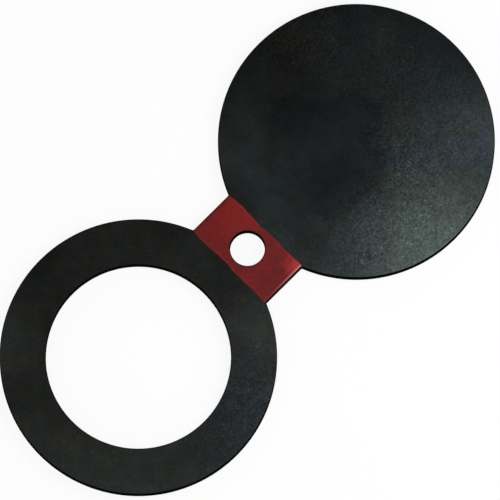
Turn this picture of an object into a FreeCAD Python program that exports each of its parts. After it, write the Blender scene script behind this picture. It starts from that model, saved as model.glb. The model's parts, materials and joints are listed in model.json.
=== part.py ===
"""Spectacle blind: a figure-eight plate that is clamped between two pipe flanges.

One flat steel plate has a solid round blank at one end and an open ring, the spacer, at the
other. A straight web joins them. The hole in the middle of the web hangs on one stud of the
flanges, so that the plate can be swung round to put either the blank or the spacer in the
line. It is profile cut and bored from one sheet, and its sharp edges are broken all round.

Lengths are in millimetres. The origin is on the axis of the swing hole, at the underside of
the plate. +X points from there to the centre of the blank, and +Z is up through the plate.
"""

import FreeCAD, Part
import os
from collections import namedtuple

# Driving dimensions, for a 4 inch class 150 raised-face joint.
BOLT_CIRCLE = 190.5  # of the flanges, and so the distance between the two disc centres
FLANGE_BOLT_HOLE = 19.05  # the studs in these holes pass just outside both discs
SPACER_BORE = 114.3  # the open way through the spacer, as wide as the pipe
PLATE_THICKNESS = 9.5
WEB_WIDTH = 63.5
SWING_HOLE = 21.5
CORNER_RADIUS = 1.0  # left by the cutter where the web runs into each disc
EDGE_BREAK = 0.5  # chamfer that takes the sharpness off every edge of both faces

DISC_RADIUS = (BOLT_CIRCLE - FLANGE_BOLT_HOLE) / 2
BLANK_X = BOLT_CIRCLE / 2
SPACER_X = -BOLT_CIRCLE / 2

NODE = "figure_eight_plate"
OUTPUT_FOLDER = "parts"
ON_FACE = 1e-6  # how near to a face's plane an edge of that face lies

# Where a disc runs into one side of the web: a tangent point on each, and the arc's middle.
Corner = namedtuple("Corner", "on_disc middle on_web")


def point(x, y):
    """A point of the outline, on the underside of the plate."""
    return FreeCAD.Vector(x, y, 0)


def corner(disc_x, side):
    """The rounded inside corner between a disc and the web's +Y (1) or -Y (-1) side.

    The arc's centre lies one corner radius outside both the disc and the web.
    """
    towards_web = 1 if disc_x < 0 else -1
    reach = DISC_RADIUS + CORNER_RADIUS
    centre_y = WEB_WIDTH / 2 + CORNER_RADIUS
    centre_x = disc_x + towards_web * (reach**2 - centre_y**2) ** 0.5
    centre = point(centre_x, side * centre_y)
    disc_centre = point(disc_x, 0)
    on_disc = disc_centre + (centre - disc_centre) * (DISC_RADIUS / reach)
    on_web = point(centre_x, side * WEB_WIDTH / 2)
    to_middle = (on_disc - centre) + (on_web - centre)
    return Corner(on_disc, centre + to_middle.normalize() * CORNER_RADIUS, on_web)


def outline():
    """The closed figure-eight outline: two discs, and the web with its four corners."""
    corners = {(x, side): corner(x, side) for x in (BLANK_X, SPACER_X) for side in (1, -1)}
    edges = [Part.Arc(c.on_disc, c.middle, c.on_web).toShape() for c in corners.values()]
    for disc_x, far_x in (
        (BLANK_X, BLANK_X + DISC_RADIUS),
        (SPACER_X, SPACER_X - DISC_RADIUS),
    ):
        start = corners[disc_x, 1].on_disc
        end = corners[disc_x, -1].on_disc
        edges.append(Part.Arc(start, point(far_x, 0), end).toShape())
    for side in (1, -1):
        edges.append(Part.makeLine(corners[SPACER_X, side].on_web, corners[BLANK_X, side].on_web))
    return Part.Wire(Part.sortEdges(edges)[0])


def round_hole(x, diameter):
    """The circular wire of a hole through the plate, centred on the X axis."""
    return Part.Wire(Part.makeCircle(diameter / 2, point(x, 0)))


def face_edges(shape):
    """Every edge that lies in the plate's lower or upper face."""
    found = []
    for edge in shape.Edges:
        box = edge.BoundBox
        for level in (0, PLATE_THICKNESS):
            if abs(box.ZMin - level) < ON_FACE and abs(box.ZMax - level) < ON_FACE:
                found.append(edge)
    return found


def figure_eight_plate():
    """The whole blind, cut through the sheet and with its sharp edges broken."""
    wires = [
        outline(),
        round_hole(SPACER_X, SPACER_BORE),
        round_hole(0, SWING_HOLE),
    ]
    profile = Part.makeFace(wires, "Part::FaceMakerBullseye")
    sharp_plate = profile.extrude(FreeCAD.Vector(0, 0, PLATE_THICKNESS))
    return sharp_plate.makeChamfer(EDGE_BREAK, face_edges(sharp_plate))


def main():
    os.makedirs(OUTPUT_FOLDER, exist_ok=True)
    plate = figure_eight_plate()
    plate.exportStep(os.path.join(OUTPUT_FOLDER, NODE + ".step"))
    state = "valid" if plate.isValid() else "not valid"
    print(f"{NODE}: {len(plate.Solids)} solid, {plate.Volume / 1000:.2f} cm3, {state}")


main()
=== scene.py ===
import json
import math

import bmesh
import bpy
from mathutils import Matrix, Vector


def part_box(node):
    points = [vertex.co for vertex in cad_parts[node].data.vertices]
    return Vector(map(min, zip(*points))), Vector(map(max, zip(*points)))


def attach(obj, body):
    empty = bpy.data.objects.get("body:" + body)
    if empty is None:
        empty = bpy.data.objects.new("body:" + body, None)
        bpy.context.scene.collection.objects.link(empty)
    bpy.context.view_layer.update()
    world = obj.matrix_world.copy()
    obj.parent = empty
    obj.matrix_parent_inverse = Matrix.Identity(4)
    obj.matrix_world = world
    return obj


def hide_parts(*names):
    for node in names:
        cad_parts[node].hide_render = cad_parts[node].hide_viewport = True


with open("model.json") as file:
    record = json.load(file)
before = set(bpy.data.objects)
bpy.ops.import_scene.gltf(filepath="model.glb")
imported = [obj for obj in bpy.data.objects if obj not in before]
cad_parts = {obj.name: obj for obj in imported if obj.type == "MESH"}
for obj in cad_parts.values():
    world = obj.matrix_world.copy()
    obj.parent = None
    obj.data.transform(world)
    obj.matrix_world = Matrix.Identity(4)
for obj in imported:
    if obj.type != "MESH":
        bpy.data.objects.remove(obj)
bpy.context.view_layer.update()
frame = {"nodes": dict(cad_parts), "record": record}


# ---------------------------------------------------------------------------------------------
# The plate: a solid blank and a bored spacer joined by a web with a swing hole, all one piece.
# It is profile cut from flat steel plate, the two holes are bored, and the sharp edges of both
# faces are rounded over. Lengths are in metres, and the outline is drawn on the lower face.

plate_node = "figure_eight_plate"
plate_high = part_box(plate_node)[1]
mounts = {mount["name"]: mount for mount in frame["record"]["mounts"]}

spacer_centre = Vector((mounts["spacer_bore"]["pos_m"][0], 0, 0))
blank_centre = -spacer_centre
disc_radius = plate_high.x - blank_centre.x
thickness = plate_high.z
bore_radius = mounts["spacer_bore"]["dims"]["r_mm"] / 1000
swing_radius = mounts["swing_hole"]["dims"]["r_mm"] / 1000

# The web's side is where a ray from far out on the +Y side meets the plate.
ray_start = Vector((0, 2 * disc_radius, thickness / 2))
half_web = frame["nodes"][plate_node].ray_cast(ray_start, Vector((0, -1, 0)))[1].y

corner_radius = 0.001  # where the cutter turned from the web onto each disc
edge_round = 0.0005  # rounding of the sharp edges
rim_steps = 112
corner_steps = 6
bore_segments = 192
swing_segments = 72
edge_segments = 4
rim_strip = 0.002  # even band of faces beside every edge

# The rounded corner between the blank and the web's +Y side has its centre one corner radius
# outside both. From the far point of the blank, its rim runs round to where that corner starts.
corner_y = half_web + corner_radius
reach = disc_radius + corner_radius
corner_centre = Vector((blank_centre.x - math.sqrt(reach**2 - corner_y**2), corner_y, 0))
rim_angle = math.pi - math.asin(corner_y / reach)


def carry_on(bm, vert, centre, angle, steps):
    """Carries an outline on from a vertex along an arc, and returns the arc's last vertex."""
    arc = bmesh.ops.spin(
        bm, geom=[vert], cent=centre, axis=(0, 0, 1), angle=angle, steps=steps, use_merge=False
    )
    return arc["geom_last"][0]


bm = bmesh.new()
far_point = bm.verts.new((plate_high.x, 0, 0))
rim_end = carry_on(bm, far_point, blank_centre, rim_angle, rim_steps)
corner_end = carry_on(bm, rim_end, corner_centre, math.pi / 2 - rim_angle, corner_steps)
web_line = bmesh.ops.extrude_vert_indiv(bm, verts=[corner_end])
web_line["verts"][0].co.x = 0

# That is a quarter of the outline, and the plate is the same on both sides of X and of Y.
for axis in ("X", "Y"):
    bmesh.ops.mirror(bm, geom=bm.verts[:] + bm.edges[:], axis=axis, merge_dist=1e-6)
for centre, radius, segments in (
    (spacer_centre, bore_radius, bore_segments),
    (Vector(), swing_radius, swing_segments),
):
    bmesh.ops.create_circle(
        bm, cap_ends=False, radius=radius, segments=segments, matrix=Matrix.Translation(centre)
    )

# The flat face, with an even band along its edges, is drawn up into the plate.
bmesh.ops.triangle_fill(bm, edges=bm.edges[:], use_beauty=True, normal=(0, 0, -1))
bmesh.ops.inset_region(bm, faces=bm.faces[:], thickness=rim_strip, use_even_offset=True)
upper = bmesh.ops.extrude_face_region(bm, geom=bm.faces[:])["geom"]
upper_verts = [element for element in upper if isinstance(element, bmesh.types.BMVert)]
bmesh.ops.translate(bm, vec=(0, 0, thickness), verts=upper_verts)
bmesh.ops.recalc_face_normals(bm, faces=bm.faces[:])

nearly_square = math.radians(80)
sharp = [edge for edge in bm.edges if edge.calc_face_angle(0) > nearly_square]
bmesh.ops.bevel(
    bm,
    geom=sharp,
    offset=edge_round,
    offset_type="OFFSET",
    segments=edge_segments,
    profile=0.5,
    affect="EDGES",
    material=-1,
)
bm.normal_update()
nearly_upright = 0.999  # of a flat face's normal
for face in bm.faces:
    is_flat = abs(face.normal.z) > nearly_upright
    face.smooth = not is_flat
    face.material_index = 0 if is_flat else 1

plate_mesh = bpy.data.meshes.new("blind_plate")
bm.to_mesh(plate_mesh)
bm.free()
plate = bpy.data.objects.new("blind_plate", plate_mesh)
bpy.context.scene.collection.objects.link(plate)
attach(plate, "root")
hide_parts(plate_node)


# ---------------------------------------------------------------------------------------------
# The finish of both faces: steel blackened in a hot bath, which dries to a cloudy satin black,
# and one coat of red paint sprayed on the web between two strips of masking tape. Neither coat
# has a thickness that shows, so both are one material on the plate's own faces. Their colour
# also holds painted sheen, painted shade and painted highlights.


class Wire:
    """A socket that a value comes out of. Arithmetic on it adds Math nodes to its tree."""

    def __init__(self, socket):
        self.socket = socket

    def maths(self, operation, *operands):
        tree = self.socket.id_data
        node = tree.nodes.new("ShaderNodeMath")
        node.operation = operation
        for operand, socket in zip(operands, node.inputs):
            if isinstance(operand, Wire):
                tree.links.new(operand.socket, socket)
            else:
                socket.default_value = operand
        return Wire(node.outputs[0])

    def __add__(self, other):
        return self.maths("ADD", self, other)

    def __sub__(self, other):
        return self.maths("SUBTRACT", self, other)

    def __rsub__(self, other):
        return self.maths("SUBTRACT", other, self)

    def __mul__(self, other):
        return self.maths("MULTIPLY", self, other)

    def __abs__(self):
        return self.maths("ABSOLUTE", self)

    __radd__ = __add__
    __rmul__ = __mul__


class Finish:
    """The nodes of a material or of the world, with a few patterns that finishes need."""

    def __init__(self, owner, coordinates="Object"):
        owner.use_nodes = True
        self.tree = owner.node_tree
        self.tree.nodes.clear()
        self.place = self.node("ShaderNodeTexCoord", output=coordinates)
        self.x, self.y, self.z = (
            self.node("ShaderNodeSeparateXYZ", inputs={"Vector": self.place}, output=axis)
            for axis in "XYZ"
        )

    def node(self, kind, settings=None, inputs=None, output=None):
        """Adds a node: its settings first, then its sockets, found by name or by number."""
        node = self.tree.nodes.new(kind)
        for name, value in (settings or {}).items():
            setattr(node, name, value)
        for key, value in (inputs or {}).items():
            if isinstance(key, str):
                socket = next(s for s in node.inputs if s.name == key and s.enabled)
            else:
                socket = node.inputs[key]
            if isinstance(value, Wire):
                self.tree.links.new(value.socket, socket)
            else:
                socket.default_value = value
        shown = [s for s in node.outputs if s.enabled and output in (None, s.name)]
        return Wire(shown[0]) if shown else None

    def noise(self, size, detail=2, shift=(0, 0, 0), stretch=(1, 1, 1), roughness=0.5):
        """Soft noise from 0 to 1 whose patches are about size metres across."""
        place = self.node(
            "ShaderNodeMapping",
            inputs={"Vector": self.place, "Location": shift, "Scale": stretch},
        )
        return self.node(
            "ShaderNodeTexNoise",
            inputs={
                "Vector": place,
                "Scale": 1 / size,
                "Detail": detail,
                "Roughness": roughness,
            },
            output="Fac",
        )

    def crystals(self, size):
        """Cells about size metres across, each with its own random value from 0 to 1."""
        cells = self.node(
            "ShaderNodeTexVoronoi",
            inputs={"Vector": self.place, "Scale": 1 / size},
            output="Color",
        )
        return self.node("ShaderNodeSeparateColor", inputs={"Color": cells}, output="Red")

    def away_from(self, spot):
        """The distance in metres from a spot."""
        return self.node(
            "ShaderNodeVectorMath", {"operation": "DISTANCE"}, {0: self.place, 1: spot}
        )

    def pool(self, spot, radius, core=0.0):
        """A soft round area: 1 out to the core's share of its radius, 0 past its wandering rim."""
        wander = self.noise(radius * 0.6, detail=3, shift=(0.4, 0.7, 0.2)) - 0.5
        return self.step(self.away_from(spot) + wander * radius, radius, radius * core)

    def spread(self, noise, low=0.0, high=1.0):
        """Goes smoothly from low to high over the range that most of a noise lies in."""
        return self.step(noise, 0.3, 0.7, low, high)

    def step(self, value, start, end, low=0.0, high=1.0):
        """Goes smoothly from low to high as value goes from start to end."""
        return self.node(
            "ShaderNodeMapRange",
            {"interpolation_type": "SMOOTHSTEP"},
            {
                "Value": value,
                "From Min": start,
                "From Max": end,
                "To Min": low,
                "To Max": high,
            },
        )

    def mix(self, share, first, second):
        """A colour that goes from first to second as share goes from 0 to 1."""
        return self.node(
            "ShaderNodeMix",
            {"data_type": "RGBA"},
            {"Factor": share, "A": first, "B": second},
        )

    def shade(self, colour, tone_and_painted_light):
        """A colour made darker or lighter, to tone times its strength."""
        return self.node(
            "ShaderNodeVectorMath",
            {"operation": "SCALE"},
            {"Vector": colour, "Scale": tone_and_painted_light},
        )


face_finish = bpy.data.materials.new("blackened_faces")
faces = Finish(face_finish)


def on_disc(centre, bearing, share):
    """A spot on a disc: its bearing from +X in degrees, and its share of the way to the rim."""
    angle = math.radians(bearing)
    direction = Vector((math.cos(angle), math.sin(angle), 0))
    return centre + direction * disc_radius * share + Vector((0, 0, thickness))


# The bath's colour is olive black on the spacer and teal black on the blank, with broad pools of
# four of its dull colours, and small patches of five of them all over.
olive_black = (0.0408, 0.0433, 0.0366, 1)
teal_black = (0.0343, 0.0432, 0.0424, 1)
slate_blue = (0.0320, 0.0400, 0.0500, 1)
sage_black = (0.0355, 0.0448, 0.0385, 1)
violet_grey = (0.0415, 0.0395, 0.0430, 1)
umber_black = (0.0430, 0.0425, 0.0365, 1)

hue_drift = (faces.noise(0.05, shift=(0.3, 0.3, 0.7)) - 0.5) * 0.08
on_blank = faces.step(faces.x + hue_drift, -0.04, 0.03)
black = faces.mix(on_blank, olive_black, teal_black)
broad_share = 0.9
for pool_colour, centre, bearing, share, width in (
    (slate_blue, blank_centre, 170, 0.4, 0.75),
    (slate_blue, blank_centre, 320, 0.8, 0.7),
    (slate_blue, spacer_centre, 290, 0.9, 0.9),
    (sage_black, spacer_centre, 225, 0.9, 0.7),
    (teal_black, blank_centre, 135, 0.9, 0.6),
    (olive_black, blank_centre, 85, 0.9, 0.8),
):
    pool = faces.pool(on_disc(centre, bearing, share), disc_radius * width)
    black = faces.mix(pool * broad_share, black, pool_colour)
for patch_colour, size, shift, share in (
    (slate_blue, 0.020, (0.71, 0.22, 0.1), on_blank * 0.6),
    (sage_black, 0.016, (0.15, 0.95, 0.3), 0.7),
    (violet_grey, 0.012, (0.1, 0.9, 0.8), 0.4 - on_blank * 0.15),
    (umber_black, 0.011, (0.8, 0.4, 0.6), 0.4 - on_blank * 0.30),
    (teal_black, 0.010, (0.6, 0.3, 0.4), 0.8),
):
    patches = faces.step(faces.noise(size, detail=4, shift=shift), 0.52, 0.62)
    black = faces.mix(patches * share, black, patch_colour)
sage_rim = faces.pool(on_disc(blank_centre, 270, 0.9), disc_radius * 0.6, core=0.5)
black = faces.mix(sage_rim * 0.7, black, sage_black)

# It is lighter in some pools, where the gain is above 0, and darker in others: partly the bath's
# own uneven tone and partly painted sheen and painted shade, and the pool on the blank's rim at
# 145 degrees is a painted highlight.
clouds = faces.noise(0.045, detail=2, shift=(0.31, 0.12, 0))
mottle = faces.noise(0.009, detail=3, shift=(0.5, 0.5, 0.1), roughness=0.6)
tone_and_painted_light = faces.spread(clouds, 0.94, 1.16) * faces.spread(mottle, 0.90, 1.10)
for centre, bearing, share, width, core, sheen_and_shade_gain in (
    (blank_centre, 150, 0.25, 0.50, 0.8, -0.24),
    (blank_centre, 215, 0.35, 0.35, 0.3, -0.25),
    (blank_centre, 95, 0.55, 0.45, 0.3, -0.20),
    (blank_centre, 340, 0.50, 0.55, 0.0, 0.22),
    (blank_centre, 255, 0.90, 0.60, 0.0, 0.30),
    (blank_centre, 205, 0.75, 0.35, 0.0, -0.15),
    (blank_centre, 300, 0.85, 0.35, 0.0, -0.15),
    (blank_centre, 170, 0.65, 0.35, 0.0, 0.30),
    (blank_centre, 325, 0.90, 0.45, 0.0, 0.25),
    (blank_centre, 40, 0.85, 0.35, 0.0, 0.35),
    (blank_centre, 145, 0.90, 0.50, 0.0, 0.65),
    (spacer_centre, 125, 1.00, 0.55, 0.0, 0.45),
    (spacer_centre, 60, 0.80, 0.60, 0.0, 0.35),
    (spacer_centre, 330, 0.90, 0.30, 0.0, 0.30),
    (spacer_centre, 355, 0.85, 0.35, 0.0, -0.35),
    (spacer_centre, 155, 0.80, 0.30, 0.0, -0.25),
):
    pool = faces.pool(on_disc(centre, bearing, share), disc_radius * width, core)
    tone_and_painted_light = tone_and_painted_light * (1 + pool * sheen_and_shade_gain)

# Close up it is grainy with the crystals of the steel, least on the spacer, next to it and in
# the smooth dark pool that runs out from the middle of the blank. The grain and the pale specks
# are painted deepest on the blank's -Y side, where the sheen is brightest, so they are partly
# painted glints.
grain = faces.noise(0.0015, detail=3, shift=(0.2, 0.4, 0.6), roughness=0.7)
crystals = faces.crystals(0.0009)
# painted glints: the grain is deepest on the blank's -Y side, where the sheen is brightest
grain_and_glint_depth = (
    0.28
    + faces.pool(on_disc(blank_centre, 260, 0.7), disc_radius * 1.1) * 0.75
    + faces.pool(on_disc(blank_centre, 345, 0.5), disc_radius * 0.7, core=0.4) * 0.45
    + faces.pool(on_disc(blank_centre, 75, 0.8), disc_radius * 0.9) * 0.5
    + faces.pool(on_disc(spacer_centre, 295, 0.9), disc_radius * 0.6) * 0.6
)
smooth_pool = faces.pool(on_disc(blank_centre, 145, 0.5), disc_radius * 0.65, core=0.7)
grain_and_glint_depth = grain_and_glint_depth * (1 - smooth_pool * 0.6)
grains = (grain - 0.5) * 0.6 + (crystals - 0.5) * 0.85
specks = faces.step(faces.crystals(0.0011), 0.980, 0.990)  # about one crystal in seventy
speck_and_glint_gain = 0.06 + grain_and_glint_depth * 0.85
tone_and_painted_light = tone_and_painted_light * (1 + grains * grain_and_glint_depth + specks * speck_and_glint_gain)
black = faces.shade(black, tone_and_painted_light)

# The paint ends at two nearly straight edges just past the corners of the web, where it crept
# a little under the tape, and a thin mist of it drifted on to the black beside them.
tape_line = 0.0160  # from the swing hole's axis to the tape's edge
paint_fade = 0.0004
mist_reach = 0.004
creep = faces.noise(0.014, detail=3, shift=(0.2, 0.3, 0.5), stretch=(0.2, 1, 1)) - 0.5
past_tape = abs(faces.x) + creep * 0.003 - tape_line
paint = faces.step(past_tape, paint_fade, -paint_fade)
corner_mist = faces.pool(Vector((tape_line, half_web, thickness)), 0.011)
mist = faces.step(past_tape, mist_reach, 0.0) * 0.12 + corner_mist * 0.15

# It is mottled, thickest and brightest between the hole, the blank and the +Y edge, with a low
# ridge along the tape and a bright run next to the blank's -Y corner. A thin pale pink line along
# the -Y edge is a painted highlight, where the rounded edge catches the softbox, and the dark red
# along the +Y edge and round the swing hole is painted shade.
crimson = (0.118, 0.0112, 0.0122, 1)
bright_red = (0.168, 0.0124, 0.0116, 1)
run_red = (0.420, 0.0320, 0.0290, 1)
highlight_pink = (0.55, 0.200, 0.190, 1)
edge_shade_red = (0.050, 0.0080, 0.0080, 1)
red_patches = faces.noise(0.010, detail=4, shift=(0.4, 0.8, 0.2), roughness=0.65)
spray = faces.noise(0.0016, detail=2, shift=(0.7, 0.1, 0.9))
thick = faces.pool(Vector((tape_line * 0.6, tape_line, thickness)), 0.02) * 0.35
brightness = faces.step(red_patches + faces.y * 1.5 + thick, 0.3, 0.8)
red = faces.mix(brightness, crimson, bright_red)
red = faces.shade(red, faces.spread(spray, 0.89, 1.11) * (1 + thick * 0.3))
ridge_width = 0.0007
tape_ridge = faces.step(abs(past_tape + ridge_width), ridge_width, 0.0)
red = faces.mix(tape_ridge * 0.15, red, run_red)
run = faces.pool(Vector((tape_line, -half_web + 0.002, thickness)), 0.012)
red = faces.mix(run * 0.9, red, run_red)
# painted highlight: a thin pale pink line along the -Y edge, strongest towards the blank
edge_highlight_line = -half_web + 0.0012
edge_highlight = faces.step(abs(faces.y - edge_highlight_line), 0.0007, 0.0001)
edge_highlight = edge_highlight * faces.step(faces.x, -0.012, 0.018, 0.08, 0.95)
red = faces.mix(edge_highlight, red, highlight_pink)
# painted shade: dark red round the swing hole and along the +Y edge
from_axis = faces.away_from(Vector((0, 0, thickness)))
hole_rim_shade = faces.step(from_axis, swing_radius + 0.0013, swing_radius + 0.0004)
red = faces.mix(hole_rim_shade * 0.7, red, edge_shade_red)
far_edge_shade = faces.step(faces.y, half_web - 0.0022, half_web - 0.0005)
red = faces.mix(far_edge_shade * 0.8, red, edge_shade_red)

colour = faces.mix(mist, black, crimson)
colour = faces.mix(paint, colour, red)
relief = (grain * 0.6 + crystals * 0.4) * grain_and_glint_depth * (1 - paint * 0.6)
relief_depth = 0.00001
faces.node(
    "ShaderNodeOutputMaterial",
    inputs={
        "Surface": faces.node(
            "ShaderNodeBsdfPrincipled",
            inputs={
                "Base Color": colour,
                "Metallic": 1 - paint,
                "Roughness": faces.spread(clouds, 0.28, 0.295) + paint * 0.06,
                "Specular IOR Level": 0.25,
                "Specular Tint": (0.5, 0.5, 0.5, 1),
                "Normal": faces.node(
                    "ShaderNodeBump",
                    inputs={"Height": relief, "Distance": relief_depth, "Strength": 1.0},
                ),
            },
        )
    },
)
plate_mesh.materials.append(face_finish)


# ---------------------------------------------------------------------------------------------
# The cut and bored walls, and the rounded edges. The rounded edges are coloured a dead black,
# which is painted shade for the dark line along every edge. The cutter left upright drag lines
# on the walls: they have a dull sheen face on, and seen along the wall they change to a dead
# black copy, which is painted shade. A little red paint rolled over the edges of the web.

wall_finish = bpy.data.materials.new("cut_walls")
walls = Finish(wall_finish)
stains = walls.noise(0.010, detail=3, shift=(0.6, 0.1, 0.3))
drag_lines = walls.noise(0.0011, detail=3, stretch=(1, 1, 0.06), roughness=0.6)
from_face = thickness / 2 - abs(walls.z - thickness / 2)
flank = walls.step(from_face, edge_round * 0.8, edge_round * 1.4)
# painted shade: the near black of the rounded edges, and of the walls where they are seen along
shade_black = (0.0030, 0.0031, 0.0031, 1)
cool_wall = (0.024, 0.0255, 0.0255, 1)
warm_wall = (0.037, 0.0365, 0.035, 1)
dull_black = walls.mix(walls.spread(stains), cool_wall, warm_wall)
wall_tone = walls.step(walls.x + stains * 0.02, -0.04, 0.02, 0.45, 0.85)  # blacker on the spacer
dull_black = walls.shade(dull_black, walls.spread(drag_lines, 0.6, 1.4) * wall_tone)
rolled_over = (
    walls.step(abs(walls.x), tape_line, tape_line - 0.0006)
    * walls.step(abs(walls.y), half_web - 0.001, half_web - 0.0008)
    * walls.step(walls.z + stains * 0.004, thickness * 0.7, thickness)
)
thin_red = (0.040, 0.0050, 0.0050, 1)
drag_depth = 0.00012
wall_bump = walls.node(
    "ShaderNodeBump", inputs={"Height": drag_lines, "Distance": drag_depth, "Strength": 1.0}
)
dull_sheen = walls.node(
    "ShaderNodeBsdfPrincipled",
    inputs={
        "Base Color": walls.mix(rolled_over, walls.mix(flank, shade_black, dull_black), thin_red),
        "Metallic": 1 - rolled_over,
        "Roughness": walls.spread(stains, 0.40, 0.55),
        "Specular IOR Level": 0.0,
        "Specular Tint": (0.0, 0.0, 0.0, 1),
        "Normal": wall_bump,
    },
)
# a shaded copy of the wall finish: painted shade where the walls are seen along
shaded_wall = walls.node(
    "ShaderNodeBsdfPrincipled",
    inputs={
        "Base Color": walls.mix(rolled_over, shade_black, thin_red),
        "Roughness": 1.0,
        "Specular IOR Level": 0.0,
        "Normal": wall_bump,
    },
)
slant = walls.node("ShaderNodeLayerWeight", inputs={"Blend": 0.5}, output="Facing")
walls.node(
    "ShaderNodeOutputMaterial",
    inputs={
        "Surface": walls.node(
            "ShaderNodeMixShader",
            inputs={"Fac": walls.step(slant, 0.35, 0.75), 1: dull_sheen, 2: shaded_wall},
        )
    },
)
plate_mesh.materials.append(wall_finish)


# ---------------------------------------------------------------------------------------------
# The floor: a plain white sheet of paper that the plate lies flat on. It is nearly white to the
# camera and keeps the plate's soft shadow. It can be seen through from below only.

floor_drop = 0.0001  # a hair under the plate, so that the two never share a surface
floor_half_width = 30
floor_bm = bmesh.new()
bmesh.ops.create_grid(
    floor_bm,
    x_segments=1,
    y_segments=1,
    size=floor_half_width,
    matrix=Matrix.Translation((0, 0, -floor_drop)),
)
floor_mesh = bpy.data.meshes.new("floor")
floor_bm.to_mesh(floor_mesh)
floor_bm.free()
floor = bpy.data.objects.new("floor", floor_mesh)
bpy.context.scene.collection.objects.link(floor)

floor_finish = bpy.data.materials.new("white_paper")
paper = Finish(floor_finish)
paper_white = (0.97, 0.97, 0.97, 1)
plain_share = 0.90  # the rest of what the camera sees of the paper holds the shadow
seen = sum(
    paper.node("ShaderNodeLightPath", output=ray)
    for ray in ("Is Camera Ray", "Is Glossy Ray", "Is Transmission Ray")
)
lit_paper = paper.node("ShaderNodeBsdfDiffuse", inputs={"Color": paper_white})
plain_white = paper.node("ShaderNodeEmission", inputs={"Color": (1, 1, 1, 1), "Strength": 1.0})
front = paper.node(
    "ShaderNodeMixShader", inputs={"Fac": seen * plain_share, 1: lit_paper, 2: plain_white}
)
below = paper.node("ShaderNodeNewGeometry", output="Backfacing")
paper.node(
    "ShaderNodeOutputMaterial",
    inputs={
        "Surface": paper.node(
            "ShaderNodeMixShader",
            inputs={"Fac": below, 1: front, 2: paper.node("ShaderNodeBsdfTransparent")},
        )
    },
)
floor_mesh.materials.append(floor_finish)


# ---------------------------------------------------------------------------------------------
# Camera: a long lens high above the plate, so that its round outlines stay round. It leans a
# few degrees back over the plate's -X, -Y side, and sees a narrow strip of the walls there.

camera_azimuth = math.radians(-45.0)
camera_elevation = math.radians(82.0)
camera_distance = 8.58
lens_length = 1000  # in millimetres
aim = Vector((0.00045, -0.00175, thickness))
camera_back = Vector(
    (
        math.sin(camera_azimuth) * math.cos(camera_elevation),
        -math.cos(camera_azimuth) * math.cos(camera_elevation),
        math.sin(camera_elevation),
    )
)
camera_data = bpy.data.cameras.new("camera")
camera_data.lens = lens_length
camera_data.clip_end = 100
camera = bpy.data.objects.new("camera", camera_data)
camera.location = aim + camera_back * camera_distance
camera.rotation_euler = (math.pi / 2 - camera_elevation, 0, camera_azimuth)
bpy.context.scene.collection.objects.link(camera)
bpy.context.scene.camera = camera


# ---------------------------------------------------------------------------------------------
# Light: a softbox out past the blank on its -Y side, which gives the sheen, a large dim panel
# out past the spacer's far end, and a studio with pale walls and a dark ceiling.

image_right = Vector((math.cos(camera_azimuth), math.sin(camera_azimuth), 0))
image_up = Vector((-math.sin(camera_azimuth), math.cos(camera_azimuth), 0))


def softbox(name, right, up, height, width, depth, radiance):
    """A level soft panel, placed to the camera's right of, up from and above the swing hole."""
    data = bpy.data.lights.new(name, "AREA")
    data.shape = "RECTANGLE"
    data.size = width
    data.size_y = depth
    data.energy = radiance * math.pi * width * depth
    lamp = bpy.data.objects.new(name, data)
    lamp.location = image_right * right + image_up * up + Vector((0, 0, height))
    lamp.rotation_euler = (0, 0, camera_azimuth)
    lamp.visible_camera = False
    bpy.context.scene.collection.objects.link(lamp)


softbox(
    "sheen_softbox", right=0.34, up=-0.016, height=0.5, width=0.46, depth=0.17, radiance=7.0
)
softbox("fill_panel", right=-0.25, up=-0.366, height=0.8, width=0.6, depth=0.6, radiance=1.0)

studio_world = bpy.data.worlds.new("studio")
bpy.context.scene.world = studio_world
studio = Finish(studio_world, "Generated")
wall_level = 0.9
ceiling_level = 0.08
wall_top = math.radians(35)
ceiling_edge = math.radians(62)
level = studio.step(
    studio.z, math.sin(wall_top), math.sin(ceiling_edge), wall_level, ceiling_level
)
studio.node(
    "ShaderNodeOutputWorld",
    inputs={
        "Surface": studio.node(
            "ShaderNodeBackground", inputs={"Color": (1, 1, 1, 1), "Strength": level}
        )
    },
)

bpy.context.scene.view_settings.view_transform = "Standard"
